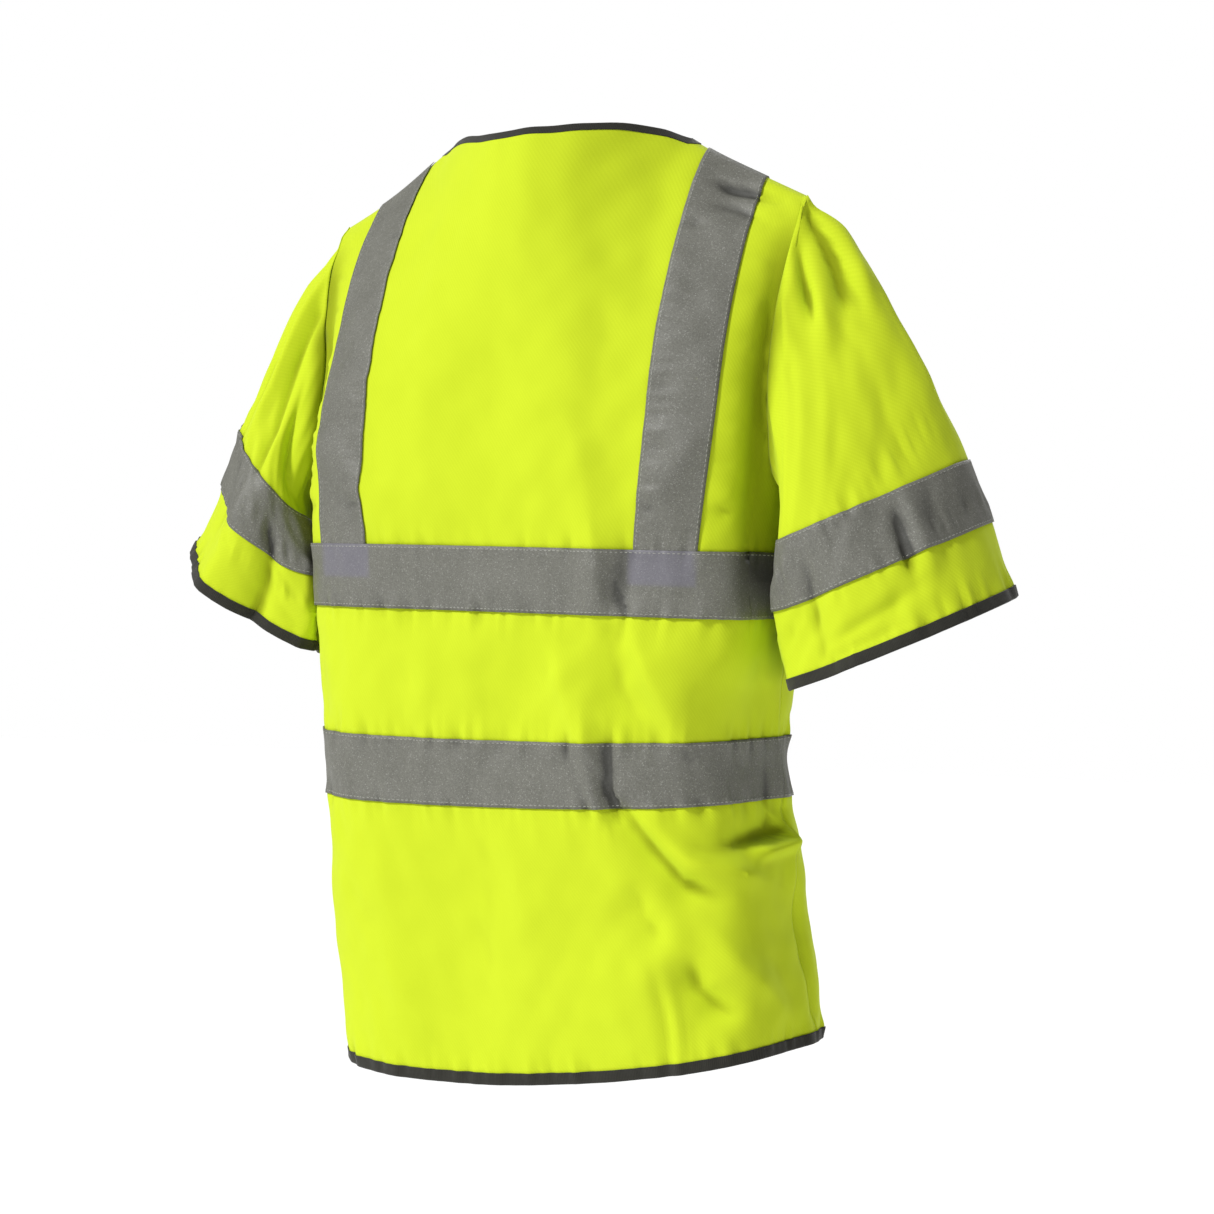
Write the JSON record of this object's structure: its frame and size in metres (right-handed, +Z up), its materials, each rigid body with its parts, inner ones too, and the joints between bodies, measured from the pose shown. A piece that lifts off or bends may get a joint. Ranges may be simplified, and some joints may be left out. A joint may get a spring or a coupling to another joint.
{
  "type": "high visibility vest",
  "caption": "Short-sleeved high visibility vest with a front zip, bound edges and reflective tape round the body, shoulders and sleeves.",
  "frame": {"origin": "centre of the shoulder line, midway between the two neck points and level with the middle of the back neck edge", "axes": "+X towards the wearer's left, +Y towards the wearer's back, +Z up"},
  "size_m": [0.7262, 0.204, 0.7266],
  "materials": {
    "hi_vis_cloth": "fluorescent yellow warp-knitted polyester, dyed, soft sheen",
    "reflective_tape": "grey glass-bead retroreflective tape on a woven backing",
    "edge_binding": "near-black woven polyester binding",
    "zip_tape_cloth": "near-black woven zip tape",
    "zip_coil_plastic": "moulded polyester coil",
    "zip_metal": "die-cast zinc with black lacquer",
    "label_cloth": "plain white woven satin ribbon"
  },
  "bodies": {
    "torso": {"back_panel": "hi_vis_cloth", "left_front_panel": "hi_vis_cloth", "right_front_panel": "hi_vis_cloth", "back_upper_tape": "reflective_tape", "back_lower_tape": "reflective_tape", "left_front_upper_tape": "reflective_tape", "left_front_lower_tape": "reflective_tape", "right_front_upper_tape": "reflective_tape", "right_front_lower_tape": "reflective_tape", "left_back_brace_tape": "reflective_tape", "right_back_brace_tape": "reflective_tape", "left_front_brace_tape": "reflective_tape", "right_front_brace_tape": "reflective_tape", "neck_binding": "edge_binding", "hem_binding": "edge_binding", "left_zip_tape": "zip_tape_cloth", "right_zip_tape": "zip_tape_cloth", "left_zip_coil": "zip_coil_plastic", "right_zip_coil": "zip_coil_plastic", "left_zip_top_stop": "zip_metal", "right_zip_top_stop": "zip_metal", "zip_insertion_pin": "zip_metal", "zip_retainer_box": "zip_metal", "neck_label": "label_cloth"},
    "left_sleeve": {"left_sleeve": "hi_vis_cloth", "left_sleeve_tape": "reflective_tape", "left_cuff_binding": "edge_binding"},
    "right_sleeve": {"right_sleeve": "hi_vis_cloth", "right_sleeve_tape": "reflective_tape", "right_cuff_binding": "edge_binding"},
    "zip_slider": {"zip_slider": "zip_metal"},
    "zip_pull": {"zip_pull": "zip_metal"}
  },
  "joints": [
    {"name": "left_sleeve_lift", "type": "hinge", "parent": "torso", "child": "left_sleeve", "pos_m": [0.208, 0, -0.054], "axis": [0, -1, 0], "range_deg": [0, 25]},
    {"name": "right_sleeve_lift", "type": "hinge", "parent": "torso", "child": "right_sleeve", "pos_m": [-0.208, 0, -0.054], "axis": [0, 1, 0], "range_deg": [0, 25]},
    {"name": "zip_slider_travel", "type": "slide", "parent": "torso", "child": "zip_slider", "axis": [0, 0, -1], "range_m": [0, 0.5061]},
    {"name": "zip_pull_swing", "type": "hinge", "parent": "zip_slider", "child": "zip_pull", "pos_m": [0, -0.0884, -0.1931], "axis": [-1, 0, 0], "range_deg": [0, 170]}
  ]
}
